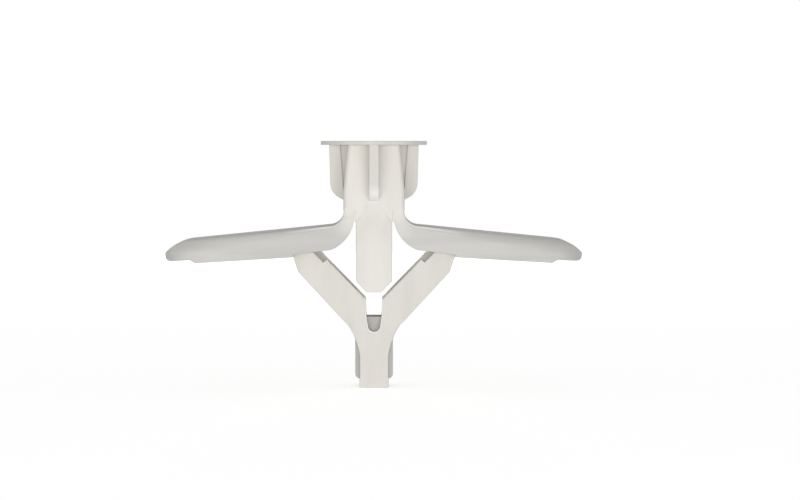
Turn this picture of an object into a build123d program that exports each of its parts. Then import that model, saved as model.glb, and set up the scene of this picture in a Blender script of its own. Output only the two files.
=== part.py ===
from build123d import *
from math import cos, hypot, radians, sin, sqrt
import os

os.makedirs("parts", exist_ok=True)

# Winged drywall anchor as it is moulded: flange up, origin at the centre of the flange's
# underside, +Z out of the wall along the screw. Lengths are in mm and angles in degrees.
# Right-hand pieces are drawn in the XZ plane and mirrored to the left.

# Screw way and thread
bore_radius = 2.0
pilot_radius = 1.35

# Flange and sleeve
flange_radius = 7.13
flange_thickness = 0.53
sleeve_half_top = 3.44
neck_half = 4.06
flare_depth = 6.1
neck_bottom = 8.65
body_corner = 0.6
spigot_radius = 2.45
spigot_bottom = 10.15

# Anti-rotation fins
fin_reach_top = 5.99
fin_reach_bottom = 5.85
fin_straight = 5.3
fin_bottom = 7.25
fin_heel = 0.2
fin_thickness = 1.3
fin_web = 0.55
fin_land = 1.46

# Screw guide tongue
tongue_half = 2.41
tongue_bottom = 19.6
tongue_tip_half = 0.99
tongue_tip_height = 1.5
tongue_thickness = 0.4
tongue_curve = 14.0
ramp_top = 7.0
ramp_bottom = 11.4
cheek_bottom = 10.3

# Wing shells
wing_half = 4.05
wing_wall = 0.7
wing_droop = 5.5
wing_length = 22.3
wing_root_depth = 3.2
wing_heel_depth = 3.35
wing_heel_end = 5.1
wing_depth = 3.7
wing_tip_depth = 3.22
wing_lip_depth = 2.82
wing_lip_run = 4.2
wing_lip_slope = 0.65
wing_nose_radius = 6.0
wing_nose_run = 4.25
wing_nose_corner = 0.75
wing_plan_corner = 3.6
shoulder_root = 0.5
shoulder_tip = 2.3
hollow_corner = 1.1

# Hinge straps between the neck and the wings
strap_bend = 2.0
strap_thickness = 0.8
strap_inner = 2.6
strap_straight = 0.6
strap_run = 0.13
strap_edge = 0.4
bend_drop = 0.05

# Fold pivots on the right, as x and z
strut_pivot = (11.3, -13.6)
nut_pivot = (2.7, -22.5)

# Struts, measured from the line between their two pivots
strut_plate = 0.5
strut_web = 0.7
strut_inner = 2.45
strut_outer = 1.45
strut_inner_start = 0.25
strut_inner_end = 3.6
strut_outer_end = 3.2
strut_neck = 0.6
strut_neck_end = 1.4
strut_head_radius = 1.2
strut_foot_radius = 1.65
strut_web_start = 0.5
strut_step_end = 4.7
strut_step = 0.62
crossbar_radius = 0.6

# Nut
nut_half = 2.53
nut_top = 23.0
nut_bottom = 31.3
nut_corner = 0.7
notch_half_top = 0.95
notch_half_bottom = 0.82
notch_corner_top = 24.05
notch_bottom = 24.85
socket_top = 23.46
socket_heel = 24.1
leg_reach = 3.45
leg_waist = (2.65, -25.5)
leg_curve_end = 28.2
bar_half = 1.9
bar_bottom = 32.5
bar_corner = 0.3

# Clearances
pivot_clearance = 0.08
plate_clearance = 0.1
tongue_clearance = 0.15

# Worked out from the sizes above
tongue_front = wing_half - wing_wall - tongue_clearance
tongue_back = tongue_front - tongue_thickness
tongue_sag = tongue_curve - sqrt(tongue_curve**2 - tongue_half**2)
strut_half = tongue_back - tongue_sag - tongue_clearance
strut_inside = strut_half - strut_plate
nut_block_half = strut_inside - plate_clearance
strut_length = hypot(strut_pivot[0] - nut_pivot[0], strut_pivot[1] - nut_pivot[1])
droop_cos = cos(radians(wing_droop))
droop_sin = sin(radians(wing_droop))


def down_wing(start, distance):
    """Point at a distance under start, square to the wing's top."""
    return start[0] - distance * droop_sin, start[1] - distance * droop_cos


bend_start = (neck_half, -neck_bottom - bend_drop)
bend_centre = (bend_start[0] + strap_bend, bend_start[1])
bend_end = down_wing(bend_centre, strap_bend)
root = (bend_end[0] + strap_run * droop_cos, bend_end[1] - strap_run * droop_sin)

# Planes of the wing and strut: local x runs along the piece, from the root and the nut
root_point = (root[0], 0, root[1])
wing_along = (droop_cos, 0, -droop_sin)
wing_up = (droop_sin, 0, droop_cos)
wing_side = Plane(origin=root_point, x_dir=wing_along, z_dir=(0, -1, 0))
wing_section = Plane(origin=root_point, x_dir=(0, 1, 0), z_dir=wing_along)
wing_plan = Plane(origin=root_point, x_dir=wing_along, z_dir=wing_up)
strut_along = (strut_pivot[0] - nut_pivot[0], 0, strut_pivot[1] - nut_pivot[1])
strut_side = Plane(origin=(nut_pivot[0], 0, nut_pivot[1]), x_dir=strut_along, z_dir=(0, -1, 0))


# Collar: flange, flared square sleeve, four fins, spigot and guide tongue
with BuildPart() as collar:
    with BuildSketch(Plane.XY):
        RectangleRounded(2 * sleeve_half_top, 2 * sleeve_half_top, body_corner)
    with BuildSketch(Plane.XY.offset(-flare_depth)) as neck_section:
        RectangleRounded(2 * neck_half, 2 * neck_half, body_corner)
    loft()
    extrude(neck_section.sketch, amount=-(neck_bottom - flare_depth))
    with BuildSketch(Plane.XY):
        Circle(flange_radius)
    extrude(amount=flange_thickness)
    with BuildSketch(Plane.XY.offset(-neck_bottom)):
        Circle(spigot_radius)
    extrude(amount=-(spigot_bottom - neck_bottom))

    # Fins, with a pocket on each face beside the sleeve
    fin_drop = fin_bottom - fin_straight
    fin_belly = (fin_reach_bottom - 0.35 * fin_drop, -fin_straight - 0.72 * fin_drop)
    fin_toe = (neck_half + fin_heel, -fin_bottom)
    for turn in range(4):
        fin_plane = Plane.XZ.rotated((0, 0, 90 * turn))
        with BuildSketch(fin_plane):
            with BuildLine():
                Polyline((0, 0), (fin_reach_top, 0), (fin_reach_bottom, -fin_straight))
                ThreePointArc((fin_reach_bottom, -fin_straight), fin_belly, fin_toe)
                Polyline(fin_toe, (neck_half, -fin_bottom - fin_heel), (0, -fin_bottom - fin_heel), (0, 0))
            make_face()
        extrude(amount=fin_thickness / 2, both=True)
        for face in (1, -1):
            with BuildSketch(fin_plane.offset(face * fin_web / 2)):
                with BuildLine():
                    Polyline(
                        (sleeve_half_top, 0),
                        (fin_reach_top - fin_land, 0),
                        (neck_half, -flare_depth),
                        close=True,
                    )
                make_face()
            extrude(amount=face * fin_thickness, mode=Mode.SUBTRACT)

    # Front of the neck runs on down over the tongue, then a gabled ramp falls back to the tongue
    with BuildSketch(Plane.XY.offset(-neck_bottom)):
        with Locations((0, -tongue_back)):
            Rectangle(2 * tongue_half, neck_half - tongue_back, align=(Align.CENTER, Align.MAX))
    extrude(amount=-(ramp_bottom - neck_bottom))
    with BuildPart(mode=Mode.PRIVATE) as gable:
        with BuildSketch(Plane.YZ):
            with BuildLine():
                Polyline(
                    (-neck_half, -ramp_top),
                    (-tongue_front, -ramp_bottom),
                    (-2 * neck_half, -ramp_bottom),
                    (-2 * neck_half, -ramp_top),
                    close=True,
                )
            make_face()
        extrude(amount=tongue_half, both=True)
        with BuildSketch(Plane.XZ):
            with BuildLine():
                Polyline(
                    (0, -ramp_top),
                    (tongue_half, -cheek_bottom),
                    (tongue_half, -ramp_bottom),
                    (-tongue_half, -ramp_bottom),
                    (-tongue_half, -cheek_bottom),
                    close=True,
                )
            make_face()
        extrude(amount=3 * neck_half, both=True, mode=Mode.INTERSECT)
    add(gable.part, mode=Mode.SUBTRACT)

    # Curved tongue
    with BuildSketch(Plane.XY.offset(-tongue_bottom)):
        with Locations((0, tongue_curve - tongue_front)):
            Circle(tongue_curve)
            Circle(tongue_curve - tongue_thickness, mode=Mode.SUBTRACT)
        Rectangle(
            2 * tongue_half,
            2 * tongue_front,
            align=(Align.CENTER, Align.MAX),
            mode=Mode.INTERSECT,
        )
    extrude(amount=tongue_bottom - neck_bottom)
    with BuildSketch(Plane.XZ):
        with BuildLine():
            Polyline(
                (tongue_tip_half, -tongue_bottom),
                (tongue_half, -tongue_bottom + tongue_tip_height),
                (tongue_half, -tongue_bottom),
                close=True,
            )
        make_face()
        mirror(about=Plane.YZ)
    extrude(amount=2 * tongue_front, both=True, mode=Mode.SUBTRACT)

    # Screw way
    with BuildSketch(Plane.XY.offset(flange_thickness)):
        Circle(bore_radius)
    extrude(amount=-(flange_thickness + ramp_bottom), mode=Mode.SUBTRACT)

collar.part.label = "collar"
export_step(collar.part, "parts/collar.step")


def rounded_section(station, inset, corner):
    """The wing's cross-section at a station, rounded at its top corners."""
    with BuildSketch(wing_section.offset(station)) as section:
        with Locations((0, -inset)):
            Rectangle(2 * (wing_half - inset), 2 * wing_depth, align=(Align.CENTER, Align.MAX))
        fillet(section.vertices().group_by(Axis.Y)[-1], corner)
    return section.sketch


def wing_form(inset):
    """The wing as a solid, or the hollow inside it when inset by the wall."""
    reach = wing_length - inset
    nose_radius = wing_nose_radius - inset
    nose_start = wing_length - wing_nose_run
    nose_reach = wing_nose_run - inset
    lip_start = wing_length - wing_lip_run
    nose_drop = inset + nose_radius - sqrt(nose_radius**2 - nose_reach**2)
    with BuildPart() as form:
        if inset:
            extrude(rounded_section(0, inset, hollow_corner), amount=wing_length)
        else:
            root_section = rounded_section(0, 0, shoulder_root)
            loft([root_section, rounded_section(wing_length, 0, shoulder_tip)])
        with BuildSketch(wing_side) as side:
            with BuildLine():
                Line((0, -inset), (nose_start, -inset))
                TangentArc((nose_start, -inset), (reach, -nose_drop), tangent=(1, 0))
                if inset:
                    Polyline(
                        (reach, -nose_drop),
                        (reach, -2 * wing_depth),
                        (0, -2 * wing_depth),
                        (0, -inset),
                    )
                else:
                    Polyline(
                        (reach, -nose_drop),
                        (reach, -wing_lip_depth),
                        (lip_start + wing_lip_slope, -wing_lip_depth),
                        (lip_start, -wing_tip_depth),
                        (wing_heel_end, -wing_depth),
                        (wing_heel_end, -wing_heel_depth),
                        (0, -wing_root_depth),
                        (0, 0),
                    )
            make_face()
            if not inset:
                nose_bottom = side.vertices().group_by(Axis.X)[-1].sort_by(Axis.Y)[0]
                fillet(nose_bottom, wing_nose_corner)
        extrude(amount=2 * wing_half, both=True, mode=Mode.INTERSECT)
        with BuildSketch(wing_plan) as plan:
            Rectangle(reach, 2 * (wing_half - inset), align=(Align.MIN, Align.CENTER))
            fillet(plan.vertices().group_by(Axis.X)[-1], wing_plan_corner - inset)
        extrude(amount=3 * wing_depth, both=True, mode=Mode.INTERSECT)
    return form.part


# Right wing: half-tube shell, open below, with a closed nose
with BuildPart() as right_wing:
    add(wing_form(0))
    add(wing_form(wing_wall), mode=Mode.SUBTRACT)

# Right hinge strap: a ribbon that bends out of the neck into the wing's roof and side walls
with BuildPart() as right_hinge_strap:
    inner_start = (strap_inner, -neck_bottom - strap_straight)
    with BuildSketch(Plane.XZ):
        with BuildLine():
            Line((neck_half, -neck_bottom), bend_start)
            TangentArc(bend_start, bend_end, tangent=(0, -1))
            Polyline(bend_end, root, down_wing(root, wing_root_depth))
            TangentArc(inner_start, down_wing(root, wing_root_depth), tangent=(0, -1))
            Polyline(inner_start, (strap_inner, -neck_bottom), (neck_half, -neck_bottom))
        make_face()
    extrude(amount=wing_half, both=True)
    top_faces = right_hinge_strap.faces().filter_by(
        lambda face: bend_centre[0] - face.center().X < 1.01 * strap_bend
        and face.center().Z > bend_end[1] - strap_edge
        and abs(face.center().Y) < strap_edge
        and face.center().Z < -neck_bottom - bend_drop / 4
    )
    outer_edges = top_faces.edges().filter_by(lambda edge: abs(edge.center().Y) > wing_half - strap_edge)
    fillet(outer_edges, strap_edge)
    with BuildSketch(Plane.XZ):
        with BuildLine():
            roof_start = (neck_half - strap_thickness, bend_start[1] - strap_straight)
            roof_mid = (neck_half - strap_thickness, bend_start[1])
            roof_end = down_wing(bend_end, strap_thickness)
            roof_root = down_wing(root, strap_thickness)
            TangentArc(roof_start, roof_end, tangent=(0, -1))
            Polyline(
                roof_end,
                roof_root,
                down_wing(root, 2 * wing_root_depth),
                (0, -2 * spigot_bottom),
                (0, roof_start[1]),
                roof_start,
            )
        make_face()
    extrude(amount=wing_half - wing_wall, both=True, mode=Mode.SUBTRACT)

# Right strut: channel open towards the screw, round at both pivots
with BuildPart() as right_strut:
    with BuildSketch(strut_side):
        with BuildLine():
            Polyline(
                (0, -strut_foot_radius),
                (strut_length - strut_outer_end, -strut_outer),
                (strut_length - strut_neck_end, -strut_neck),
                (strut_length, -strut_neck),
                (strut_length, strut_head_radius),
                (strut_length - strut_inner_end, strut_inner),
                (strut_inner_start, strut_inner),
                (-strut_foot_radius * sin(radians(45)), strut_foot_radius * cos(radians(45))),
                close=True,
            )
        make_face()
        Circle(strut_foot_radius)
        with Locations((strut_length, 0)):
            Circle(strut_head_radius)
    extrude(amount=strut_half, both=True)
    with BuildSketch(strut_side):
        with Locations((-strut_foot_radius, strut_web - strut_outer)):
            Rectangle(2 * strut_length, 2 * strut_inner, align=Align.MIN)
        with Locations((strut_web_start, 0)):
            Rectangle(4 * strut_foot_radius, 4 * strut_foot_radius, align=(Align.MAX, Align.CENTER))
        with Locations((strut_length, 0)):
            Circle(crossbar_radius, mode=Mode.SUBTRACT)
    extrude(amount=strut_inside, both=True, mode=Mode.SUBTRACT)
    with BuildSketch(strut_side.offset(strut_inside)):
        with Locations((strut_length - strut_step_end, strut_inner - strut_step)):
            Rectangle(strut_length, strut_inner, align=Align.MIN)
        with Locations((strut_length, 0)):
            Circle(strut_head_radius, mode=Mode.SUBTRACT)
    extrude(amount=strut_plate, mode=Mode.SUBTRACT)

# Nut: pilot-bored block between two Y-shaped plates that cradle the struts' round feet
with BuildPart() as nut:
    with BuildSketch(Plane.XZ):
        with BuildLine():
            notch_side = (notch_half_bottom, -notch_corner_top)
            notch_round = (0.7 * notch_half_bottom, 0.25 * -notch_corner_top - 0.75 * notch_bottom)
            ThreePointArc((0, -notch_bottom), notch_round, notch_side)
            Polyline(
                notch_side,
                (notch_half_top, -socket_top),
                (leg_reach, -socket_heel),
            )
            ThreePointArc((leg_reach, -socket_heel), leg_waist, (bar_half, -leg_curve_end))
            Polyline(
                (bar_half, -leg_curve_end),
                (bar_half, -bar_bottom),
                (0, -bar_bottom),
                (0, -notch_bottom),
            )
        make_face()
        with Locations(nut_pivot):
            Circle(strut_foot_radius + pivot_clearance, mode=Mode.SUBTRACT)
        mirror(about=Plane.YZ)
    extrude(amount=strut_half, both=True)
    with BuildSketch(Plane.XZ):
        Rectangle(8 * nut_half, 3 * nut_bottom)
    extrude(amount=nut_block_half, both=True, mode=Mode.SUBTRACT)
    bar_corners = nut.edges().filter_by(Axis.Y).group_by(Axis.Z)[0]
    fillet(bar_corners, bar_corner)
    with BuildSketch(Plane.XZ) as block:
        with Locations((0, -nut_bottom)):
            Rectangle(2 * nut_half, nut_bottom - nut_top, align=(Align.CENTER, Align.MIN))
        fillet(block.vertices().group_by(Axis.Y)[0], nut_corner)
    extrude(amount=nut_block_half, both=True)
    with BuildSketch(Plane.XY.offset(-nut_top)):
        Circle(pilot_radius)
    extrude(amount=-(nut_bottom - nut_top), mode=Mode.SUBTRACT)

nut.part.label = "nut"
export_step(nut.part, "parts/nut.step")

for name, right_piece in (
    ("wing", right_wing.part),
    ("hinge_strap", right_hinge_strap.part),
    ("strut", right_strut.part),
):
    left_piece = mirror(right_piece, about=Plane.YZ)
    for side_name, piece in (("right", right_piece), ("left", left_piece)):
        piece.label = f"{side_name}_{name}"
        export_step(piece, f"parts/{side_name}_{name}.step")
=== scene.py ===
import bmesh
import bpy
import math
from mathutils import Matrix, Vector
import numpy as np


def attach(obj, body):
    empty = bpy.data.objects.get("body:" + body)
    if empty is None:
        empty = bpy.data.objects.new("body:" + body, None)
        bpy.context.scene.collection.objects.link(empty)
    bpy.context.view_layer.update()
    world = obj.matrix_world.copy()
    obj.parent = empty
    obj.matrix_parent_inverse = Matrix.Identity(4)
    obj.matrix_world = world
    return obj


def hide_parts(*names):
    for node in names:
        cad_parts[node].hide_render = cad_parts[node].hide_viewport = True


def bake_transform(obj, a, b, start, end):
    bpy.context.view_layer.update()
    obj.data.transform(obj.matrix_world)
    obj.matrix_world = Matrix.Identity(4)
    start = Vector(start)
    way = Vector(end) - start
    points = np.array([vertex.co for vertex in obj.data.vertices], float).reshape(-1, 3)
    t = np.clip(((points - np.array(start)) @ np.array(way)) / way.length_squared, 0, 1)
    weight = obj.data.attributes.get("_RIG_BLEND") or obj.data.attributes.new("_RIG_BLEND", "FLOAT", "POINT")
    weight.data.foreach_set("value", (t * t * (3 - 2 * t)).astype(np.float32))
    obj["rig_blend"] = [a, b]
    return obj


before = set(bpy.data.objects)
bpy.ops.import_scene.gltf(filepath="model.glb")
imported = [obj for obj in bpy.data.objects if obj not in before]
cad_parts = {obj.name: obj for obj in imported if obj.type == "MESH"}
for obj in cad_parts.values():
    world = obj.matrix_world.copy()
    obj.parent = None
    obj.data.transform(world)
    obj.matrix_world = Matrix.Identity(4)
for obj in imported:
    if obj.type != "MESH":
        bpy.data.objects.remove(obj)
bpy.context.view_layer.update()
mm = 0.001


# Natural polypropylene: satin, with faint flow marks
plastic = {
    "colour": (0.80, 0.775, 0.725, 1),
    "shade": (0.765, 0.74, 0.69, 1),  # where the flow marks are deepest
    "paintedShade": (0.62, 0.605, 0.575, 1),  # painted shade over the wings past the root and on the flange's edge, for the shade of the dark hollow behind thin walls
    "paintedDeepShade": (0.33, 0.32, 0.30, 1),  # painted shade, darkest on the hinge bend where it is thinnest and deepest, and on the wings' tips
    "rim": (0.93, 0.92, 0.89, 1),  # painted highlight on thin edges, the fins' undersides and the wings' front shoulder
    "roughness": (0.42, 0.56),
    "specular": 0.35,
    "ior": 1.49,
    "flowScale": 420,
    "flowDetail": 3,
    "flowWay": (1, 1, 0.16),  # marks run down the screw's way
    "flowBand": (0.35, 0.65),  # the part of the noise that changes the brightness
    "flowDepth": 0.09,  # of the brightness
    "grainScale": 2600,
    "grainDetail": 2,
    "bump": 0.02 * mm,
    "bumpStrength": 0.6,
}
finishes = {  # what each finish changes in the plastic; the block, fin and plate finishes are darker copies, painted shade
    "naturalWhite": {},
    "wingWhite": {"flowWay": (0.10, 1, 1), "flowDepth": 0.17},
    # painted shade: the nut block darker, as in the shade of the plates
    "shadedBlockWhite": {"colour": (0.49, 0.475, 0.45, 1), "shade": (0.455, 0.44, 0.415, 1)},
    # painted shade: the fins darker
    "shadedFinWhite": {"colour": (0.70, 0.68, 0.635, 1), "shade": (0.67, 0.65, 0.605, 1)},
    # painted shade: the strut plates, living hinges and legs darker
    "shadedPlateWhite": {"colour": (0.73, 0.705, 0.655, 1), "shade": (0.70, 0.675, 0.625, 1)},
}


def noise(tree, place, scale, detail):
    node = tree.nodes.new("ShaderNodeTexNoise")
    node.inputs["Scale"].default_value = scale
    node.inputs["Detail"].default_value = detail
    tree.links.new(place, node.inputs["Vector"])
    return node.outputs["Fac"]


def ranged(tree, value, low, high, band=(0, 1)):  # brings a value from its band to between low and high
    node = tree.nodes.new("ShaderNodeMapRange")
    for label, number in (("From Min", band[0]), ("From Max", band[1]), ("To Min", low), ("To Max", high)):
        node.inputs[label].default_value = number
    tree.links.new(value, node.inputs["Value"])
    return node.outputs["Result"]


def tinted(tree, factor, first, second):  # from a colour or socket to a second colour
    node = tree.nodes.new("ShaderNodeMix")
    node.data_type = "RGBA"
    if isinstance(first, tuple):
        node.inputs["A"].default_value = first
    else:
        tree.links.new(first, node.inputs["A"])
    node.inputs["B"].default_value = second
    tree.links.new(factor, node.inputs["Factor"])
    return node.outputs["Result"]


def naturalPlastic(name, values):
    material = bpy.data.materials.new(name)
    material.use_nodes = True
    tree = material.node_tree
    link = tree.links.new
    place = tree.nodes.new("ShaderNodeTexCoord").outputs["Object"]
    stretch = tree.nodes.new("ShaderNodeMapping")
    stretch.inputs["Scale"].default_value = values["flowWay"]
    link(place, stretch.inputs["Vector"])
    flow = noise(tree, stretch.outputs["Vector"], values["flowScale"], values["flowDetail"])
    colour = tinted(tree, flow, values["colour"], values["shade"])
    for attribute in ("paintedShade", "paintedDeepShade", "rim"):  # painted shade, painted deep shade and painted highlight marks that the meshes carry
        mark = tree.nodes.new("ShaderNodeAttribute")
        mark.attribute_name = attribute
        colour = tinted(tree, mark.outputs["Fac"], colour, values[attribute])
    streaked = tree.nodes.new("ShaderNodeVectorMath")
    streaked.operation = "SCALE"
    swing = values["flowDepth"] / 2
    link(colour, streaked.inputs[0])
    link(ranged(tree, flow, 1 - swing, 1 + swing, values["flowBand"]), streaked.inputs["Scale"])
    bump = tree.nodes.new("ShaderNodeBump")
    bump.inputs["Distance"].default_value = values["bump"]
    bump.inputs["Strength"].default_value = values["bumpStrength"]
    link(noise(tree, place, values["grainScale"], values["grainDetail"]), bump.inputs["Height"])
    shader = tree.nodes["Principled BSDF"]
    shader.inputs["IOR"].default_value = values["ior"]
    shader.inputs["Specular IOR Level"].default_value = values["specular"]
    link(streaked.outputs["Vector"], shader.inputs["Base Color"])
    link(ranged(tree, flow, *values["roughness"]), shader.inputs["Roughness"])
    link(bump.outputs["Normal"], shader.inputs["Normal"])
    return material


finish = {name: naturalPlastic(name, {**plastic, **changes}) for name, changes in finishes.items()}
print("plastic ready")


# Shared mesh work
softening = {
    "sharpAngle": 50,  # degrees
    "edgeAngle": 30,
    "edgeSegments": 2,
    "faceWeight": 90,
    "cleanWithin": 0.0001,
}
paintedRimHighlight = {  # painted highlight on bevels: those that face up, and those round the notch of the plates
    "slope": 0.3,
    "notchHalf": 1.3,
    "notchLow": -25.2,
    "notchHigh": -20,
}


def show(name, mesh, body=None, stands=()):
    thing = bpy.data.objects.new(name, mesh)
    bpy.context.scene.collection.objects.link(thing)
    if body:
        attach(thing, body)
    if stands:
        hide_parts(*stands)
    return thing


def meshOf(thing):  # the evaluated object as a plain mesh, its modifiers and itself removed
    bpy.context.view_layer.update()
    mesh = bpy.data.meshes.new_from_object(thing.evaluated_get(bpy.context.evaluated_depsgraph_get()))
    bpy.data.objects.remove(thing)
    return mesh


def workOn(mesh):  # takes a mesh up again for more work, and drops it
    work = bmesh.new()
    work.from_mesh(mesh)
    bpy.data.meshes.remove(mesh)
    return work


def smoothed(work, name, sharp=softening["sharpAngle"], weighted=True, edge=0, dress="naturalWhite"):
    bmesh.ops.dissolve_degenerate(work, dist=softening["cleanWithin"] * mm, edges=work.edges)
    bmesh.ops.recalc_face_normals(work, faces=work.faces)
    mesh = bpy.data.meshes.new(name)
    mesh.materials.append(finish[dress])
    work.to_mesh(mesh)
    work.free()
    for face in mesh.polygons:
        face.use_smooth = True
    mesh.set_sharp_from_angle(angle=math.radians(sharp))
    if not weighted:
        return mesh
    thing = bpy.data.objects.new(name, mesh)
    bpy.context.scene.collection.objects.link(thing)
    if edge:
        rim = thing.modifiers.new("softEdges", "BEVEL")
        rim.limit_method = "ANGLE"
        rim.angle_limit = math.radians(softening["edgeAngle"])
        rim.width = edge * mm
        rim.segments = softening["edgeSegments"]
        weld = thing.modifiers.new("cleanCorners", "WELD")
        weld.merge_threshold = softening["cleanWithin"] * mm
    level = thing.modifiers.new("flatFaces", "WEIGHTED_NORMAL")
    level.keep_sharp = True
    level.weight = softening["faceWeight"]
    return meshOf(thing)


def ringMesh(name, points):  # a closed ring of edges through points in mm
    count = len(points)
    mesh = bpy.data.meshes.new(name)
    edges = [(k, (k + 1) % count) for k in range(count)]
    mesh.from_pydata([(p[0] * mm, p[1] * mm, 0) for p in points], edges, [])
    return mesh


def arcPoints(centre, radius, first, last, count):
    steps = [math.radians(first + (last - first) * k / count) for k in range(count + 1)]
    return [(centre[0] + radius * math.cos(a), centre[1] + radius * math.sin(a)) for a in steps]


def arcThrough(first, middle, last, count):  # points on the circle through three, ends included
    ax, ay, bx, by, cx, cy = *first, *middle, *last
    d = 2 * (ax * (by - cy) + bx * (cy - ay) + cx * (ay - by))
    a, b, c = ax * ax + ay * ay, bx * bx + by * by, cx * cx + cy * cy
    across = (a * (by - cy) + b * (cy - ay) + c * (ay - by)) / d
    up = (a * (cx - bx) + b * (ax - cx) + c * (bx - ax)) / d
    angles = [math.degrees(math.atan2(y - up, x - across)) for x, y in (first, middle, last)]
    turn = (angles[2] - angles[0]) % 360
    if (angles[1] - angles[0]) % 360 > turn:
        turn -= 360
    centre = (across, up)
    return arcPoints(centre, math.dist(centre, first), angles[0], angles[0] + turn, count)


def block(low, high):  # a box in mm, for carving
    work = bmesh.new()
    bmesh.ops.create_cube(work, size=1)
    for vert in work.verts:
        vert.co = [(a + b + (b - a) * 2 * c) / 2 * mm for a, b, c in zip(low, high, vert.co)]
    return work


def prism(outline, near, far, edge=0):  # an xz outline in mm, between two y planes, its rims rounded
    work = bmesh.new()
    corners = [work.verts.new((x * mm, near * mm, z * mm)) for x, z in outline]
    face = work.faces.new(corners)
    grown = bmesh.ops.extrude_face_region(work, geom=[face])
    for vert in [v for v in grown["geom"] if isinstance(v, bmesh.types.BMVert)]:
        vert.co.y = far * mm
    bmesh.ops.recalc_face_normals(work, faces=work.faces)
    if edge:
        rims = [e for e in work.edges if abs(e.verts[0].co.y - e.verts[1].co.y) < 1e-9]
        # painted highlight on the bevels that face up or line the notch
        mark = work.faces.layers.float.new("rim")
        made = bmesh.ops.bevel(work, geom=rims, offset=edge * mm, segments=softening["edgeSegments"],
                               profile=0.5, affect="EDGES", clamp_overlap=True)
        for face in made["faces"]:
            x, _, z = face.calc_center_median() / mm
            atNotch = abs(x) < paintedRimHighlight["notchHalf"] and paintedRimHighlight["notchLow"] < z < paintedRimHighlight["notchHigh"]
            face[mark] = float(face.normal.z > paintedRimHighlight["slope"] or atNotch)
    bmesh.ops.triangulate(work, faces=[f for f in work.faces if len(f.verts) > 4], ngon_method="EAR_CLIP")
    return work


def cutAway(work, point, outward):  # removes what lies beyond a plane through an xz point in mm, and caps it
    geometry = work.verts[:] + work.edges[:] + work.faces[:]
    bmesh.ops.bisect_plane(work, geom=geometry, plane_co=(point[0] * mm, 0, point[1] * mm),
                           plane_no=(outward[0], 0, outward[1]), clear_outer=True)
    bmesh.ops.holes_fill(work, edges=[e for e in work.edges if e.is_boundary], sides=0)


def slices(work, start, end, count):  # adds cuts across the way from start to end, for bending
    way = Vector((end[0] - start[0], 0, end[1] - start[1]))
    for k in range(count + 1):
        point = Vector((start[0], 0, start[1])) + way * k / count
        geometry = work.verts[:] + work.edges[:] + work.faces[:]
        bmesh.ops.bisect_plane(work, geom=geometry, plane_co=point * mm, plane_no=way.normalized())


def joined(*works):
    mesh = bpy.data.meshes.new("part")
    whole = bmesh.new()
    for work in works:
        work.to_mesh(mesh)
        work.free()
        whole.from_mesh(mesh)
    bpy.data.meshes.remove(mesh)
    return whole


def mirrored(work):
    other = work.copy()
    for vert in other.verts:
        vert.co.x = -vert.co.x
    bmesh.ops.recalc_face_normals(other, faces=other.faces)
    return other


def carved(work, tool, operation="DIFFERENCE"):
    pair = []
    for part in (work, tool):
        mesh = bpy.data.meshes.new("carving")
        bmesh.ops.recalc_face_normals(part, faces=part.faces)
        part.to_mesh(mesh)
        part.free()
        pair.append(bpy.data.objects.new("carving", mesh))
        bpy.context.scene.collection.objects.link(pair[-1])
    cut = pair[0].modifiers.new("cut", "BOOLEAN")
    cut.operation = operation
    cut.solver = "EXACT"
    cut.object = pair[1]
    mesh = meshOf(pair[0])
    bpy.data.objects.remove(pair[1])
    return workOn(mesh)


# Shared node work
def newTree(name, numbers):  # a tree with geometry in and out, a material and named numbers
    tree = bpy.data.node_groups.new(name, "GeometryNodeTree")
    face = tree.interface
    face.new_socket(name="Geometry", in_out="INPUT", socket_type="NodeSocketGeometry")
    face.new_socket(name="Material", in_out="INPUT", socket_type="NodeSocketMaterial")
    for label in numbers:
        kind = "NodeSocketInt" if label.endswith("Count") else "NodeSocketFloat"
        face.new_socket(name=label, in_out="INPUT", socket_type=kind)
    face.new_socket(name="Geometry", in_out="OUTPUT", socket_type="NodeSocketGeometry")
    source = tree.nodes.new("NodeGroupInput")
    return tree, source.outputs


def closeTree(tree, source, geometry):  # ends a tree as plain geometry with its material
    link = tree.links.new
    plain = tree.nodes.new("GeometryNodeRealizeInstances")
    dress = tree.nodes.new("GeometryNodeSetMaterial")
    out = tree.nodes.new("NodeGroupOutput")
    link(geometry, plain.inputs[0])
    link(plain.outputs[0], dress.inputs["Geometry"])
    link(source["Material"], dress.inputs["Material"])
    link(dress.outputs[0], out.inputs[0])


def runTree(tree, name, mesh, numbers):  # runs a tree on a mesh, its inputs set by name
    thing = bpy.data.objects.new(name, mesh)
    bpy.context.scene.collection.objects.link(thing)
    modifier = thing.modifiers.new(tree.name, "NODES")
    modifier.node_group = tree
    for item in tree.interface.items_tree:
        if item.item_type == "SOCKET" and item.in_out == "INPUT" and item.name in numbers:
            modifier[item.identifier] = numbers[item.name]
    return workOn(meshOf(thing))


def calculator(tree):  # arithmetic on sockets and numbers
    def calc(operation, *terms):
        node = tree.nodes.new("ShaderNodeMath")
        node.operation = operation
        for socket, term in zip(node.inputs, terms):
            if isinstance(term, (int, float)):
                socket.default_value = term
            else:
                tree.links.new(term, socket)
        return node.outputs[0]
    return calc


def clamped(calc, value, low, high):
    return calc("MINIMUM", calc("MAXIMUM", value, low), high)


def named(tree, name, kind="FLOAT"):
    node = tree.nodes.new("GeometryNodeInputNamedAttribute")
    node.data_type = kind
    node.inputs["Name"].default_value = name
    return node.outputs[0]


def stored(tree, geometry, name, value):  # keeps a value on each point
    node = tree.nodes.new("GeometryNodeStoreNamedAttribute")
    node.data_type = "FLOAT"
    node.domain = "POINT"
    node.inputs["Name"].default_value = name
    tree.links.new(geometry, node.inputs["Geometry"])
    tree.links.new(value, node.inputs["Value"])
    return node.outputs[0]


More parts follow.
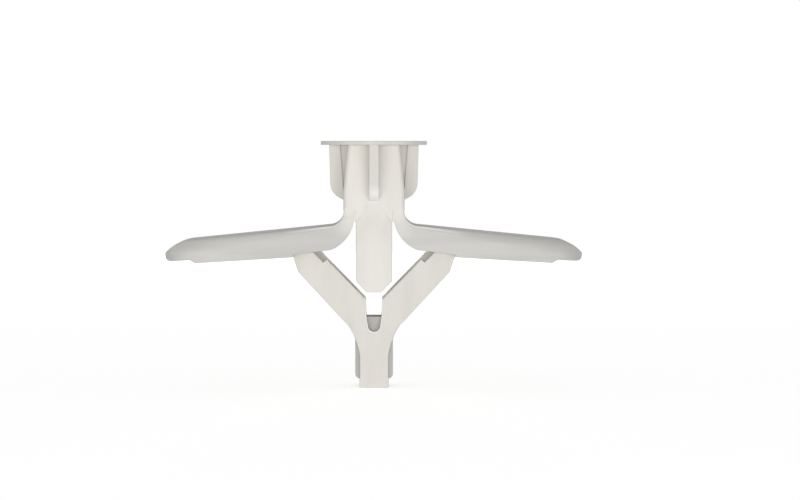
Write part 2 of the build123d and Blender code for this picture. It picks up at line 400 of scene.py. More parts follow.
def sweptRing(tree, path, ring, name, caps):  # a ring of edges along a path, with its share of the path kept
    factor = tree.nodes.new("GeometryNodeSplineParameter")
    profile = tree.nodes.new("GeometryNodeMeshToCurve")
    tree.links.new(ring, profile.inputs["Mesh"])
    sweep = tree.nodes.new("GeometryNodeCurveToMesh")
    sweep.inputs["Fill Caps"].default_value = caps
    tree.links.new(stored(tree, path, name, factor.outputs["Factor"]), sweep.inputs["Curve"])
    tree.links.new(profile.outputs[0], sweep.inputs["Profile Curve"])
    return sweep.outputs[0]


# Channels: one section swept out of the neck, round the hinge bend and along the wing
channel = {
    "halfWidth": 4.05,
    "wall": 0.7,
    "startX": 4.05,
    "startZ": -8.65,
    "draft": 0.09,  # how much narrower the walls stand at the top
    "draftStart": 0.4,
    "draftRun": 2.2,
    "straight": 0.05,
    "bendRadius": 2.0,
    "turn": 84.5,  # degrees, 90 less the wing's droop
    "root": 3.13,  # distances run from the neck, along the top
    "end": 25.43,
    "strapStart": -0.3,
    "strapStep": 0.12,
    "wingStep": 0.15,
    "noseStart": 21.18,
    "noseRadius": 6.0,
    "noseBlend": 0.25,
    "planStart": 21.83,
    "planCorner": 3.6,
    "tightCorner": 0.45,
    "softCorner": 2.3,
    "hollowCorner": 1.1,
    "lipRound": 0.12,
    "lipLeast": 0.13,  # of the side wall, where the nose comes down to it
    "sharpAngle": 40,
    "depths": (  # how deep the walls hang: way along the top, then depth
        (0, 1.46), (0.542, 1.557), (1.033, 1.754), (1.525, 2.02), (2.016, 2.351), (2.508, 2.737),
        (3.0, 3.158), (3.13, 3.2), (8.23, 3.35), (8.35, 3.70), (21.23, 3.22), (21.88, 2.74),
        (24.63, 2.68), (24.88, 2.62), (25.13, 2.49), (25.31, 2.30), (25.43, 1.98),
    ),
    "depthsReach": 30,  # the depths' curve covers this run and this depth
    "depthsDeep": 5,
}
# Painted highlight on the front shoulder, painted shade over the hinge bend, the tops and the tips
channelTints = {
    "ridge": (19, 20, 21),  # points of the section on its front shoulder, where the highlight is painted
    "ridgePeak": 0.02,  # of the wing's length
    "ridgeFade": 4,
    "crown": {8: 0.2, 9: 0.45, 10: 0.7, 11: 0.9, 12: 1.0, 13: 1.0},  # painted shade's weight, from either shoulder to mid-top
    "deepShadeRise": 1.5,
    "deepShadeFade": 16,
    "deepShadeLeast": 0.45,
    "deepShadeMost": 0.95,
    "tipStart": 19,
    "tipRun": 6.4,
    "tipMost": 0.3,
}
channelLengths = (  # the tree's inputs that are lengths, each with a value of the same name above
    "Start X", "Start Z", "Straight", "Bend Radius", "Root", "End",
    "Nose Start", "Nose Radius", "Plan Start", "Plan Corner", "Half Width", "Wall",
)


def sectionMesh(values, tints):  # the section's ring, with its tight and soft shapes as attributes
    half, wall, lip = values["halfWidth"], values["wall"], values["lipRound"]
    belly = 0.3 * lip  # how far the lip's round stays inside its square corner

    def outside(corner):  # from the lip's outer edge over the shoulder to the middle: y, depth, hang
        ring = [(half - lip, 0, 1), (half - belly, -belly, 1), (half, -lip, 1)]
        ring += [(y, -v, 0) for y, v in arcPoints((half - corner, -corner), corner, 0, 90, 9)]
        return ring + [(0.5 * (half - corner), 0, 0)]

    def inside():
        inner, corner = half - wall, values["hollowCorner"]
        ring = [(inner + lip, 0, 1), (inner + belly, -belly, 1), (inner, -lip, 1)]
        ring += [(y, wall - v, 0) for y, v in arcPoints((inner - corner, -corner), corner, 0, 90, 7)]
        return ring + [(0.5 * (inner - corner), wall, 0)]

    def whole(corner):  # once round, each point with 1 where it is inside
        outer, inner = outside(corner), inside()
        farOuter = [(-y, v, h) for y, v, h in reversed(outer)]
        farInner = [(-y, v, h) for y, v, h in inner]
        return [(p, 0) for p in outer + farOuter] + [(p, 1) for p in farInner + inner[::-1]]

    tight, soft = whole(values["tightCorner"]), whole(values["softCorner"])
    count, lastOuter = len(tight), sum(1 - within for _, within in tight) - 1
    mesh = ringMesh("channelSection", [p for p, _ in tight])
    for name, ring in (("tight", tight), ("soft", soft)):
        data = mesh.attributes.new(name, "FLOAT_VECTOR", "POINT").data
        for k, (p, _) in enumerate(ring):
            data[k].vector = (p[0] * mm, p[1] * mm, 0)
    # ridge and crown carry the painted highlight and the painted shade's weight
    columns = {
        "hang": [p[2] for p, _ in tight],
        "inner": [within for _, within in tight],
        "ridge": [k in tints["ridge"] for k in range(count)],
        "crown": [tints["crown"].get(min(k, lastOuter - k), 0) for k in range(count)],
    }
    for name, column in columns.items():
        data = mesh.attributes.new(name, "FLOAT", "POINT").data
        for point, value in zip(data, column):
            point.value = float(value)
    return mesh


def topLine(calc, source, way):  # straight down, round the bend, then out along the wing
    bend, straight = source["Bend Radius"], source["Straight"]
    angle = clamped(calc, calc("DIVIDE", calc("SUBTRACT", way, straight), bend), 0, source["Turn"])
    bent = calc("ADD", straight, calc("MULTIPLY", bend, source["Turn"]))
    rest = calc("MAXIMUM", calc("SUBTRACT", way, bent), 0)
    drop = calc("MINIMUM", way, straight)
    cosine, sine = calc("COSINE", angle), calc("SINE", angle)
    x = calc("ADD", source["Start X"], calc("MULTIPLY", bend, calc("SUBTRACT", 1, cosine)))
    z = calc("SUBTRACT", calc("SUBTRACT", source["Start Z"], drop), calc("MULTIPLY", bend, sine))
    x = calc("ADD", x, calc("MULTIPLY", rest, sine))
    z = calc("SUBTRACT", z, calc("MULTIPLY", rest, cosine))
    return x, z, cosine, sine


def lipDepth(tree, way, values):  # how deep the side walls hang
    calc = calculator(tree)
    reach, deep = values["depthsReach"], values["depthsDeep"]
    node = tree.nodes.new("ShaderNodeFloatCurve")
    curve = node.mapping.curves[0]
    knots = [(run / reach, depth / deep) for run, depth in values["depths"]]
    curve.points[0].location = knots[0]
    curve.points[1].location = (1, knots[-1][1])
    for knot in knots[1:]:
        curve.points.new(*knot)
    for point in curve.points:
        point.handle_type = "VECTOR"
    node.mapping.update()
    tree.links.new(calc("DIVIDE", way, reach * mm), node.inputs["Value"])
    return calc("MULTIPLY", node.outputs[0], deep * mm)


def paintedRidgeHighlight(tree, loose, tints):  # painted highlight on the front shoulder near the root
    calc = calculator(tree)
    off = calc("ABSOLUTE", calc("SUBTRACT", loose, tints["ridgePeak"]))
    fade = calc("MAXIMUM", calc("SUBTRACT", 1, calc("MULTIPLY", tints["ridgeFade"], off)), 0)
    return calc("MULTIPLY", fade, named(tree, "ridge"))


def deepShadeTint(tree, way, tints):  # painted shade: darkest over the bend, fading along the top, and again at the tip
    calc = calculator(tree)
    rising = clamped(calc, calc("DIVIDE", way, tints["deepShadeRise"] * mm), 0, 1)
    falling = calc("SUBTRACT", 1, calc("DIVIDE", way, tints["deepShadeFade"] * mm))
    falling = calc("MAXIMUM", falling, tints["deepShadeLeast"])
    crown = calc("MULTIPLY", named(tree, "crown"), tints["deepShadeMost"])
    along = calc("MULTIPLY", calc("MULTIPLY", rising, falling), crown)
    tip = calc("MAXIMUM", calc("SUBTRACT", way, tints["tipStart"] * mm), 0)
    tip = calc("MULTIPLY", calc("DIVIDE", tip, tints["tipRun"] * mm), tints["tipMost"])
    return calc("MAXIMUM", along, tip)


def channelTree(values, tints):
    labels = ("Side", "From", "To", "Station Count", "Turn", "Draft") + channelLengths
    tree, source = newTree("sweptChannel", labels)
    link = tree.links.new
    calc = calculator(tree)
    line = tree.nodes.new("GeometryNodeCurvePrimitiveLine")
    stations = tree.nodes.new("GeometryNodeResampleCurve")
    link(line.outputs[0], stations.inputs["Curve"])
    link(source["Station Count"], stations.inputs["Count"])
    swept = sweptRing(tree, stations.outputs[0], source["Geometry"], "along", True)
    span = calc("SUBTRACT", source["To"], source["From"])
    way = calc("ADD", source["From"], calc("MULTIPLY", named(tree, "along"), span))
    topX, topZ, cosine, sine = topLine(calc, source, way)
    # how far the top falls at the nose, and how the plan narrows there
    inner = named(tree, "inner")
    wall = calc("MULTIPLY", inner, source["Wall"])

    def rounding(start, radius):
        own = calc("SUBTRACT", radius, wall)
        reach = calc("MAXIMUM", calc("SUBTRACT", way, start), 0)
        reach = calc("MINIMUM", reach, calc("MULTIPLY", own, 0.9999))  # just short of the arc's end
        chord = calc("SUBTRACT", calc("MULTIPLY", own, own), calc("MULTIPLY", reach, reach))
        return calc("SUBTRACT", own, calc("SQRT", chord))

    noseDrop = calc("ADD", rounding(source["Nose Start"], source["Nose Radius"]), wall)
    own = calc("SUBTRACT", source["Half Width"], wall)
    narrow = calc("SUBTRACT", own, rounding(source["Plan Start"], source["Plan Corner"]))
    narrow = calc("DIVIDE", narrow, own)
    # the section's own shape, from tight at the root to soft at the nose
    loose = calc("SUBTRACT", way, source["Root"])
    loose = calc("DIVIDE", loose, calc("SUBTRACT", source["End"], source["Root"]))
    shape = tree.nodes.new("ShaderNodeMix")
    shape.data_type = "VECTOR"
    link(clamped(calc, loose, 0, 1), shape.inputs["Factor"])
    ends = [socket for socket in shape.inputs if socket.type == "VECTOR" and socket.name in "AB"]
    link(named(tree, "tight", "FLOAT_VECTOR"), ends[0])
    link(named(tree, "soft", "FLOAT_VECTOR"), ends[1])
    parts = tree.nodes.new("ShaderNodeSeparateXYZ")
    link([socket for socket in shape.outputs if socket.type == "VECTOR"][0], parts.inputs[0])
    # depth under the top's line, where hanging points and the closed end go down to the lips
    lip = lipDepth(tree, way, values)
    depth = calc("SMOOTH_MAX", parts.outputs["Y"], noseDrop, values["noseBlend"] * mm)
    depth = calc("MINIMUM", depth, calc("SUBTRACT", lip, values["lipLeast"] * mm))
    shut = calc("GREATER_THAN", way, calc("SUBTRACT", source["End"], source["Wall"]))
    low = calc("MAXIMUM", named(tree, "hang"), calc("MULTIPLY", shut, inner))
    hung = calc("ADD", lip, calc("MULTIPLY", parts.outputs["Y"], named(tree, "hang")))
    depth = calc("ADD", calc("MULTIPLY", low, hung), calc("MULTIPLY", calc("SUBTRACT", 1, low), depth))
    height = calc("SUBTRACT", 1, calc("DIVIDE", depth, lip))
    onset = calc("SUBTRACT", way, values["draftStart"] * mm)
    onset = clamped(calc, calc("DIVIDE", onset, values["draftRun"] * mm), 0, 1)
    lean = calc("MULTIPLY", calc("MULTIPLY", height, height), calc("MULTIPLY", onset, source["Draft"]))
    narrow = calc("MULTIPLY", narrow, calc("SUBTRACT", 1, lean))
    outX = calc("SUBTRACT", topX, calc("MULTIPLY", depth, cosine))
    place = tree.nodes.new("ShaderNodeCombineXYZ")
    link(calc("MULTIPLY", outX, source["Side"]), place.inputs["X"])
    link(calc("MULTIPLY", parts.outputs["X"], narrow), place.inputs["Y"])
    link(calc("SUBTRACT", topZ, calc("MULTIPLY", depth, sine)), place.inputs["Z"])
    # painted shade along the wing past the root, painted highlight on the shoulder, painted shade over the
    # bend and the tip
    marked = stored(tree, swept, "paintedShade", onset)
    marked = stored(tree, marked, "rim", paintedRidgeHighlight(tree, loose, tints))
    marked = stored(tree, marked, "paintedDeepShade", deepShadeTint(tree, way, tints))
    move = tree.nodes.new("GeometryNodeSetPosition")
    link(marked, move.inputs["Geometry"])
    link(place.outputs[0], move.inputs["Position"])
    closeTree(tree, source, move.outputs[0])
    return tree


def keyOf(label):  # the value that a socket takes, such as noseStart for Nose Start
    return label[0].lower() + label[1:].replace(" ", "")


def sweptPiece(name, tree, values, side, first, last, step):
    numbers = {label: values[keyOf(label)] * mm for label in channelLengths}
    numbers.update({
        "Side": float(side), "From": first * mm, "To": last * mm,
        "Station Count": round((last - first) / step) + 1,
        "Turn": math.radians(values["turn"]), "Draft": values["draft"], "Material": finish["wingWhite"],
    })
    work = runTree(tree, name, sectionMesh(values, channelTints), numbers)
    return smoothed(work, name, values["sharpAngle"], False, dress="wingWhite")


sweep = channelTree(channel, channelTints)
start, root, end = channel["strapStart"], channel["root"], channel["end"]
for side, name in ((1, "right"), (-1, "left")):
    wing = sweptPiece(name + "WingShell", sweep, channel, side, root, end, channel["wingStep"])
    show(name + "WingShell", wing, name + "_wing", (name + "_wing",))
    ribbon = sweptPiece(name + "HingeStrap", sweep, channel, side, start, root, channel["strapStep"])
    strap = show(name + "HingeStrap", ribbon)
    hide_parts(name + "_hinge_strap")
    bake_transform(strap, "collar", name + "_wing",
             start=(side * 4.30 * mm, 0, -8.58 * mm), end=(side * 5.52 * mm, 0, -10.88 * mm))
print("wings and straps ready")


# Turned parts: a closed profile swept round the screw's axis
flange = {
    "bore": 2.0,
    "radius": 7.13,
    "bottom": 0,
    "top": 0.53,
    "edge": 0.11,
    "sides": 128,
}
spigot = {
    "bore": 2.0,
    "radius": 2.45,
    "bottom": -10.15,
    "top": -8.4,
    "edge": 0.12,
    "sides": 64,
}
# painted shade on the turned parts' outer edge
outerEdge = {
    "from": 0.98,  # of the radius
    "edgeShade": 0.7,
}


def profileRing(points, edge):  # radius and height in mm, each corner rounded
    ring = []
    for k, corner in enumerate(points):
        here = Vector(corner)
        before, after = Vector(points[k - 1]), Vector(points[(k + 1) % len(points)])
        inward, onward = (before - here).normalized() * edge, (after - here).normalized() * edge
        for t in (0, 0.29, 0.71, 1):  # steps along a curve that rounds the corner
            ring.append(here + inward * (1 - t) ** 2 + onward * t ** 2)
    return ring


def turnedTree():
    tree, source = newTree("turnedProfile", ("Side Count",))
    link = tree.links.new
    calc = calculator(tree)
    circle = tree.nodes.new("GeometryNodeCurvePrimitiveCircle")
    link(source["Side Count"], circle.inputs["Resolution"])
    swept = sweptRing(tree, circle.outputs[0], source["Geometry"], "around", False)
    angle = calc("MULTIPLY", named(tree, "around"), 2 * math.pi)
    radial = named(tree, "radial")
    place = tree.nodes.new("ShaderNodeCombineXYZ")
    link(calc("MULTIPLY", radial, calc("COSINE", angle)), place.inputs["X"])
    link(calc("MULTIPLY", radial, calc("SINE", angle)), place.inputs["Y"])
    link(named(tree, "height"), place.inputs["Z"])
    move = tree.nodes.new("GeometryNodeSetPosition")
    link(swept, move.inputs["Geometry"])
    link(place.outputs[0], move.inputs["Position"])
    closeTree(tree, source, move.outputs[0])
    return tree


def turnedPiece(name, tree, values):
    inner, outer, low, high = values["bore"], values["radius"], values["bottom"], values["top"]
    ring = profileRing(((inner, low), (outer, low), (outer, high), (inner, high)), values["edge"])
    mesh = ringMesh(name, ring)
    for label, axis in (("radial", 0), ("height", 1)):
        data = mesh.attributes.new(label, "FLOAT", "POINT").data
        for k, p in enumerate(ring):
            data[k].value = p[axis] * mm
    work = runTree(tree, name, mesh, {"Side Count": values["sides"], "Material": finish["naturalWhite"]})
    # painted shade on the faces near the outer edge
    mark = work.faces.layers.float.new("paintedShade")
    for face in work.faces:
        atEdge = face.calc_center_median().xy.length > outerEdge["from"] * outer * mm
        face[mark] = outerEdge["edgeShade"] * atEdge
    return smoothed(work, name)


turned = turnedTree()
show("flangeDisc", turnedPiece("flangeDisc", turned, flange), "collar", ("collar",))
show("spigotTube", turnedPiece("spigotTube", turned, spigot), "collar", ("collar",))
print("flange and spigot ready")


# Fins: one drawn, the rest turned round the axis
fins = {
    "count": 4,
    "top": 0.15,  # a little into the flange
    "reachTop": 5.99,
    "reachBottom": 5.85,
    "straight": 5.3,
    "belly": (5.17, -6.70),
    "toe": (4.26, -7.25),
    "heel": ((4.0, -7.42), (3.3, -7.42), (3.3, -6.4), (4.06, -6.1)),
    "land": 1.46,
    "thickness": 1.3,
    "webTop": (3.0, 4.75),
    "webFoot": ((4.3, -6.3), (3.0, -6.3)),
    "web": 0.55,
    "edge": 0.09,
    "paintedUndersideLight": 1.6,  # painted light: how fast faces lighten as they turn down
}


def finTree():
    tree, source = newTree("finsRound", ("Fin Count",))
    link = tree.links.new
    calc = calculator(tree)
    spots = tree.nodes.new("GeometryNodeMeshLine")
    spots.mode = "OFFSET"
    spots.inputs["Offset"].default_value = (0, 0, 0)
    link(source["Fin Count"], spots.inputs["Count"])
    index = tree.nodes.new("GeometryNodeInputIndex")
    turn = tree.nodes.new("ShaderNodeCombineXYZ")
    share = calc("DIVIDE", 2 * math.pi, source["Fin Count"])
    link(calc("MULTIPLY", index.outputs[0], share), turn.inputs["Z"])
    place = tree.nodes.new("GeometryNodeInstanceOnPoints")
    link(spots.outputs[0], place.inputs["Points"])
    link(source["Geometry"], place.inputs["Instance"])
    link(turn.outputs[0], place.inputs["Rotation"])
    closeTree(tree, source, place.outputs[0])
    return tree


def finPiece(values):
    top, reach, half, web = values["top"], values["reachTop"], values["thickness"] / 2, values["web"] / 2
    arc = arcThrough((values["reachBottom"], -values["straight"]), values["belly"], values["toe"], 12)
    land = [(reach - values["land"], top), (reach, top)] + arc + list(values["heel"])
    blade = [(x, top) for x in values["webTop"]] + list(values["webFoot"])
    work = joined(prism(land, -half, half, values["edge"]), prism(blade, -web, web))
    mark = work.faces.layers.float["rim"]
    # painted light on the faces that turn down
    for face in work.faces:
        face.normal_update()
        face[mark] = min(1, values["paintedUndersideLight"] * max(0, -face.normal.z))
    one = smoothed(work, "fins", weighted=False)
    work = runTree(finTree(), "fins", one, {"Fin Count": values["count"], "Material": finish["shadedFinWhite"]})
    return smoothed(work, "sleeveFins", dress="shadedFinWhite")


show("sleeveFins", finPiece(fins), "collar", ("collar",))
print("fins ready")


# Sleeve: flared square tube with a gabled recess low on its front
sleeve = {
    "topHalf": 3.44,
    "neck": 4.06,
    "top": 0.2,  # a little into the flange
    "flareDepth": 6.1,
    "bottom": 8.65,
    "corner": 0.6,
    "cornerSteps": 6,
    "flatSteps": 5,
    "bore": 2.02,
    "blockTop": 8.0,  # where the apron and its cheeks start, inside the tube
    "apronHalf": 2.41,
    "apronBack": 2.8,
    "rampTop": 7.0,
    "rampBottom": 11.4,
    "cheek": 10.3,
    "gableReach": 1.3,  # how far the recess's outline runs past the apron
    "recess": 3.05,
    "sideHalf": 2.78,
    "sideBottom": 10.15,
    "sideSet": 0.1,
    "edge": 0.12,
}


def squareRing(half, values):  # once round a square with rounded corners, its flats divided too
    corner, steps = values["corner"], values["flatSteps"]
    centre = half - corner
    arcs = []
    for k, (x, y) in enumerate(((1, 1), (-1, 1), (-1, -1), (1, -1))):
        arcs.append(arcPoints((x * centre, y * centre), corner, 90 * k, 90 * k + 90, values["cornerSteps"]))
    ring = []
    for arc, following in zip(arcs, arcs[1:] + arcs[:1]):
        start, end = arc[-1], following[0]
        ring += arc + [tuple(a + (b - a) * s / steps for a, b in zip(start, end)) for s in range(1, steps)]
    return ring


def squareTube(stations, values):  # down the outside and back up the bore
    rings = [[(x, y, z) for x, y in squareRing(half, values)] for z, half in stations]
    bore = values["bore"]
    for ring in rings[::-1]:
        rings.append([(bore * x / math.hypot(x, y), bore * y / math.hypot(x, y), z) for x, y, z in ring])
    work = bmesh.new()
    made = [[work.verts.new((x * mm, y * mm, z * mm)) for x, y, z in ring] for ring in rings]
    for ring, following in zip(made, made[1:] + made[:1]):
        for j in range(len(ring)):
            n = (j + 1) % len(ring)
            work.faces.new((ring[j], ring[n], following[n], following[j]))
    return work


def sleevePiece(values):
    neck, half, deep, start = values["neck"], values["apronHalf"], values["rampBottom"], -values["blockTop"]
    back, slim = -values["apronBack"], values["topHalf"]
    stations = ((values["top"], slim), (0, slim), (-values["flareDepth"], neck), (-values["bottom"], neck))
    body = squareTube(stations, values)
    body = carved(body, block((-half, -neck, -deep), (half, back, start)), "UNION")
    wide, shy = values["sideHalf"], values["sideSet"]
    body = carved(body, block((-wide, shy - neck, -values["sideBottom"]), (wide, back, start)), "UNION")
    reach = values["gableReach"] * half
    drop = values["gableReach"] * (values["cheek"] - values["rampTop"])
    peak, low, past = -values["rampTop"], -values["rampTop"] - drop, -2 * deep
    gable = [(0, peak), (reach, low), (reach, past), (-reach, past), (-reach, low)]
    body = carved(body, prism(gable, -3 * neck, -values["recess"]))
    return smoothed(body, "squareSleeve", edge=values["edge"])


show("squareSleeve", sleevePiece(sleeve), "collar", ("collar",))
print("sleeve ready")


# Tongue: a thin curved guide that leaves the neck in a ramp, its tip cut to a blunt point
tongue = {
    "half": 2.41,
    "front": 3.2,
    "curve": 14.0,
    "thickness": 0.4,
    "top": 7.0,
    "rampStart": 8.8,
    "rampEnd": 13.6,
    "rampRise": 0.86,
    "rampSteps": 16,
    "bottom": 19.6,
    "tipHalf": 0.99,
    "tipHeight": 1.5,
    "tipSteps": 3,
    "flankSteps": 4,
    "edge": 0.1,
}


def tonguePiece(values):
    half, tip, thick, low = values["half"], values["tipHalf"], values["thickness"], -values["bottom"]
    tips, flanks, steps = values["tipSteps"], values["flankSteps"], values["rampSteps"]
    middle = [tip * k / tips for k in range(-tips, tips + 1)]
    flank = [tip + (half - tip) * k / flanks for k in range(1, flanks + 1)]
    columns = [-x for x in flank[::-1]] + middle + flank
    top, end = -values["top"], -values["rampEnd"]
    heights = [top + (end - top) * k / steps for k in range(steps + 1)]

    def ramp(z):  # level with the neck, then eased down to the tongue's own face
        share = min(1, (z - end) / (values["rampEnd"] - values["rampStart"]))
        return values["rampRise"] * share * share * (3 - 2 * share)

    work = bmesh.new()
    rings = []
    for x in columns:
        sag = x * x / (2 * values["curve"]) - values["front"]
        foot = low + max(0, (abs(x) - tip) / (half - tip)) * values["tipHeight"]
        places = [(sag - ramp(z), z) for z in heights]
        places += [(sag, foot), (sag + thick, foot), (sag + thick, top)]
        rings.append([work.verts.new((x * mm, y * mm, z * mm)) for y, z in places])
    for ring, following in zip(rings, rings[1:]):
        for k in range(len(ring)):
            n = (k + 1) % len(ring)
            work.faces.new((ring[k], ring[n], following[n], following[k]))
    for ring in (rings[0], rings[-1]):
        work.faces.new(ring)
    return smoothed(work, "guideTongue", edge=values["edge"])


show("guideTongue", tonguePiece(tongue), "collar", ("collar",))
print("tongue ready")


# Struts and nut: two Y-shaped plates with a web in each arm, cut where the living hinges bend
arms = {
    "face": 2.44,
    "plate": 0.5,
    "edge": 0.12,
    "foot": (2.7, -22.5),
    "head": (11.3, -13.6),
    "inner": 2.45,
    "innerStart": 0.25,
    "innerRun": 3.6,
    "outer": 1.45,
    "outerStart": 0.3,
    "outerRun": 3.2,
    "footRadius": 1.65,
    "heel": -0.35,
    "heelRise": 0.02,
    "headRadius": 1.2,
    "headSteps": 20,
    "neck": 0.6,
    "neckRun": 1.4,
    "step": 0.62,
    "stepRun": 4.7,
    "stepSlant": 0.05,
    "webInner": 0.75,
    "webStart": 0.5,
    "webLap": 0.03,  # into the plates and past the foot
    "webShy": 0.02,  # of the plates' outer edge
    "crossbar": 0.6,
    "crossbarShy": 0.3,
    "crossbarSides": 24,
    "notch": ((0, -24.94), (0.6, -24.68), (0.82, -24.05)),
    "notchSide": ((0.95, -23.46), (1.05, -22.5)),
    "leg": ((3.40, -24.15), (2.68, -25.5), (1.9, -28.2)),
    "legFoot": ((1.9, -31.25), (1.96, -31.4), (1.96, -32.3), (1.76, -32.5)),
    "armCut": 2.2,  # along the strut, where it stops bending
    "nutCut": -24.6,
    "bendWay": (0.35, 0.94),  # along the bend, with how far it reaches either way of the foot
    "bendAbove": 1.3,
    "bendBelow": 1.6,
    "slicesAbove": 2.6,
    "slicesBelow": 1.8,
    "sliceCount": 12,
}
nutBlock = {
    "half": 2.53,
    "halfDepth": 1.96,
    "top": 23.0,
    "bottom": 31.3,
    "corner": 0.7,
    "bore": 1.35,
    "boreSides": 48,
    "drillLength": 20,
    "drillMiddle": 27,
    "setBack": 1.5,
    "setDepth": 25.3,
    "edge": 0.1,
}

foot, head = Vector(arms["foot"]), Vector(arms["head"])
armLength = (head - foot).length
armWay = (head - foot) / armLength
armInward = Vector((-armWay.y, armWay.x))
bendWay = Vector(arms["bendWay"])


def onArm(along, inward):
    return tuple(foot + along * armWay + inward * armInward)


def armPlate(values, stepped):  # the outline of one plate: notch, arm, leg and the same mirrored
    inner, tip, radius = values["inner"], values["headRadius"], values["footRadius"]
    innerSide = [onArm(values["innerStart"], inner)]
    if stepped:
        low = inner - values["step"]
        start = armLength - values["stepRun"]
        meet = armLength - values["innerRun"] * (low - tip) / (inner - tip)
        innerSide += [onArm(start, inner), onArm(start + values["stepSlant"], low), onArm(meet, low)]
    else:
        innerSide += [onArm(armLength - values["innerRun"], inner)]
    crown = [onArm(armLength + x, y) for x, y in arcPoints((0, 0), tip, 90, -150, values["headSteps"])]
    outerSide = [onArm(armLength - values["neckRun"], -values["neck"]),
                 onArm(armLength - values["outerRun"], -values["outer"]),
                 onArm(values["outerStart"], -radius), onArm(values["heel"], -radius + values["heelRise"])]
    notch, leg = arcThrough(*values["notch"], 8), arcThrough(*values["leg"], 12)
    right = notch + list(values["notchSide"]) + innerSide + crown + outerSide + leg + list(values["legFoot"])
    left = [(-x, z) for x, z in right[:0:-1]]
    return right + left


def armBody(values):
    far, near = values["face"], values["face"] - values["plate"]
    front = prism(armPlate(values, True), -far, -near, values["edge"])
    rear = prism(armPlate(values, False), near, far, values["edge"])
    return joined(front, rear)


def armWebs(values):
    wide = values["face"] - values["plate"] + values["webLap"]
    start, inner, outer = values["webStart"], values["webInner"], values["outer"]
    slope = (outer - inner) / (outer - values["neck"])
    bendAt = armLength - values["outerRun"]
    end = bendAt + slope * (values["outerRun"] - values["neckRun"])
    foot, edge = values["footRadius"] - values["webLap"], outer - values["webShy"]
    web = [onArm(start, -foot), onArm(bendAt, -edge), onArm(end, -inner), onArm(start, -inner)]
    return prism(web, -wide, wide)


def armPieces(values):  # right strut, right living hinge and both legs
    cut, low = onArm(values["armCut"], 0), (0, values["nutCut"])
    wide, sides = values["face"] - values["crossbarShy"], values["crossbarSides"]
    around = arcPoints((0, 0), values["crossbar"], 0, 360 - 360 / sides, sides - 1)
    bar = prism([onArm(armLength + x, y) for x, y in around], -wide, wide)
    strut = joined(armBody(values), armWebs(values))
    cutAway(strut, (0, 0), (-1, 0))
    cutAway(strut, cut, (-armWay.x, -armWay.y))
    strut = joined(strut, bar)
    bend = joined(armBody(values), armWebs(values))
    cutAway(bend, low, (0, -1))
    cutAway(bend, cut, (armWay.x, armWay.y))
    cutAway(bend, (0, 0), (-1, 0))
    below, above = values["slicesBelow"] * bendWay, values["slicesAbove"] * bendWay
    slices(bend, foot - below, foot + above, values["sliceCount"])
    legs = armBody(values)
    cutAway(legs, low, (0, 1))
    return strut, bend, legs


def nutPiece(values):
    half, top, bottom, corner = values["half"], -values["top"], -values["bottom"], values["corner"]
    rightCorner = arcPoints((half - corner, bottom + corner), corner, -90, 0, 6)
    leftCorner = [(-x, z) for x, z in rightCorner[::-1]]
    outline = leftCorner + rightCorner + [(half, top), (-half, top)]
    body = prism(outline, -values["halfDepth"], values["halfDepth"])
    for y in (-1, 1):  # set back where the plates' notch shows it
        near, far = sorted((y * values["setBack"], 2 * y * values["halfDepth"]))
        body = carved(body, block((-2 * half, near, -values["setDepth"]), (2 * half, far, 0)))
    drill = bmesh.new()
    radius, length = values["bore"] * mm, values["drillLength"] * mm
    bmesh.ops.create_cone(drill, cap_ends=True, segments=values["boreSides"],
                          radius1=radius, radius2=radius, depth=length)
    for vert in drill.verts:
        vert.co.z -= values["drillMiddle"] * mm
    return carved(body, drill)


strut, bend, legs = armPieces(arms)
blockMesh = smoothed(nutPiece(nutBlock), "nutBlock", edge=nutBlock["edge"], dress="shadedBlockWhite")
show("nutBlock", blockMesh, "nut", ("nut",))
show("nutLegs", smoothed(legs, "nutLegs", dress="shadedPlateWhite"), "nut", ("nut",))
upper, lower = foot + arms["bendAbove"] * bendWay, foot - arms["bendBelow"] * bendWay
for side, name, own, bent in ((-1, "left", mirrored(strut), mirrored(bend)), (1, "right", strut, bend)):
    channelMesh = smoothed(own, name + "StrutChannel", dress="shadedPlateWhite")
    show(name + "StrutChannel", channelMesh, name + "_strut", (name + "_strut",))
    hingeMesh = smoothed(bent, name + "LivingHinge", weighted=False, dress="shadedPlateWhite")
    piece = show(name + "LivingHinge", hingeMesh)
    high, low = [(side * p.x * mm, 0, p.y * mm) for p in (upper, lower)]
    if side > 0:
        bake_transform(piece, "nut", "right_strut", start=low, end=high)
    else:
        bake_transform(piece, "left_strut", "nut", start=high, end=low)
print("struts and nut ready")


# Studio: white floor, an even world, and three soft lamps level with the part
studio = {
    "floorZ": -32.5 * mm,
    "floorSize": 0.6,
    "floorColour": 0.8,
    "floorRoughness": 0.9,
    "floorGlow": 0.2,  # a light table under the part
    "floorSeen": 0.6,  # the glow that the camera sees
    "worldLight": 0.42,
    "lamps": (
        ("leftLamp", 0.5, (-0.12, -0.42, 0)),
        ("rightLamp", 0.5, (0.12, -0.42, 0)),
        ("backLamp", 0.75, (0, 0.42, 0)),
    ),
    "lampSize": (0.3, 0.06),
    "lampAim": (0, 0, -0.014),
}
camera = {
    "place": (0.0, -0.25, 0.0003),
    "aim": (0.0035, 0, -0.01413),
    "lens": 83.7,
    "sensor": 36,
    "clip": (0.01, 20),
}


def seenDirectly(tree):  # 1 for what the camera sees, straight or in gloss and through clear things
    rays = tree.nodes.new("ShaderNodeLightPath")
    calc = calculator(tree)
    either = calc("MAXIMUM", rays.outputs["Is Camera Ray"], rays.outputs["Is Glossy Ray"])
    return calc("MAXIMUM", either, rays.outputs["Is Transmission Ray"])


def turnTo(thing, place, aim):
    spot = Vector(place)
    thing.location = spot
    thing.rotation_euler = (Vector(aim) - spot).to_track_quat("-Z", "Y").to_euler()


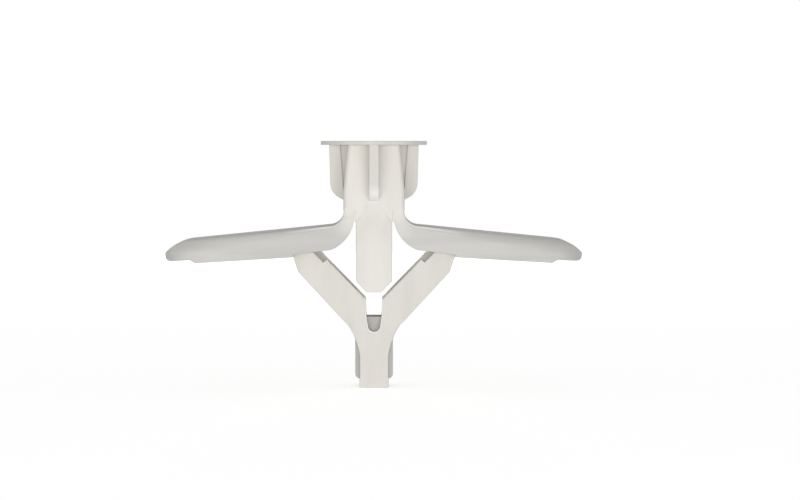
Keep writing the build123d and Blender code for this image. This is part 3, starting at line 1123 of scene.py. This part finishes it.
def buildWorld(values):  # white where it is seen, dimmer as a light
    world = bpy.data.worlds.new("studioWorld")
    bpy.context.scene.world = world
    world.use_nodes = True
    tree = world.node_tree
    back = tree.nodes["Background"]
    back.inputs["Color"].default_value = (1, 1, 1, 1)
    white = tree.nodes.new("ShaderNodeMix")
    white.inputs["A"].default_value = values["worldLight"]
    white.inputs["B"].default_value = 1.0
    tree.links.new(seenDirectly(tree), white.inputs["Factor"])
    tree.links.new(white.outputs["Result"], back.inputs["Strength"])


def buildFloor(values):
    mesh = bpy.data.meshes.new("studioFloor")
    half, low = values["floorSize"] / 2, values["floorZ"]
    corners = [(-half, -half, low), (half, -half, low), (half, half, low), (-half, half, low)]
    mesh.from_pydata(corners, [], [(0, 1, 2, 3)])
    floor = bpy.data.objects.new("studioFloor", mesh)
    bpy.context.scene.collection.objects.link(floor)
    material = bpy.data.materials.new("paleFloor")
    material.use_nodes = True
    tree = material.node_tree
    link = tree.links.new
    shader = tree.nodes["Principled BSDF"]
    grey = values["floorColour"]
    shader.inputs["Base Color"].default_value = (grey, grey, grey, 1)
    shader.inputs["Roughness"].default_value = values["floorRoughness"]
    shader.inputs["Specular IOR Level"].default_value = 0.0
    glow = tree.nodes.new("ShaderNodeEmission")
    add = tree.nodes.new("ShaderNodeAddShader")
    link(ranged(tree, seenDirectly(tree), values["floorGlow"], values["floorSeen"]), glow.inputs["Strength"])
    link(shader.outputs[0], add.inputs[0])
    link(glow.outputs[0], add.inputs[1])
    link(add.outputs[0], tree.nodes["Material Output"].inputs["Surface"])
    mesh.materials.append(material)


def buildLamps(values):
    for name, power, place in values["lamps"]:
        lamp = bpy.data.lights.new(name, "AREA")
        lamp.energy = power
        lamp.shape = "RECTANGLE"
        lamp.size, lamp.size_y = values["lampSize"]
        thing = bpy.data.objects.new(name, lamp)
        turnTo(thing, place, values["lampAim"])
        thing.visible_glossy = place[1] < 0  # the back lamp leaves no glare on the wings' tops
        bpy.context.scene.collection.objects.link(thing)


def buildCamera(values):
    data = bpy.data.cameras.new("camera")
    data.lens = values["lens"]
    data.sensor_width = values["sensor"]
    data.clip_start, data.clip_end = values["clip"]
    thing = bpy.data.objects.new("camera", data)
    turnTo(thing, values["place"], values["aim"])
    bpy.context.scene.collection.objects.link(thing)
    bpy.context.scene.camera = thing


bpy.context.scene.view_settings.view_transform = "Standard"
buildWorld(studio)
buildFloor(studio)
buildLamps(studio)
buildCamera(camera)
print("studio ready")
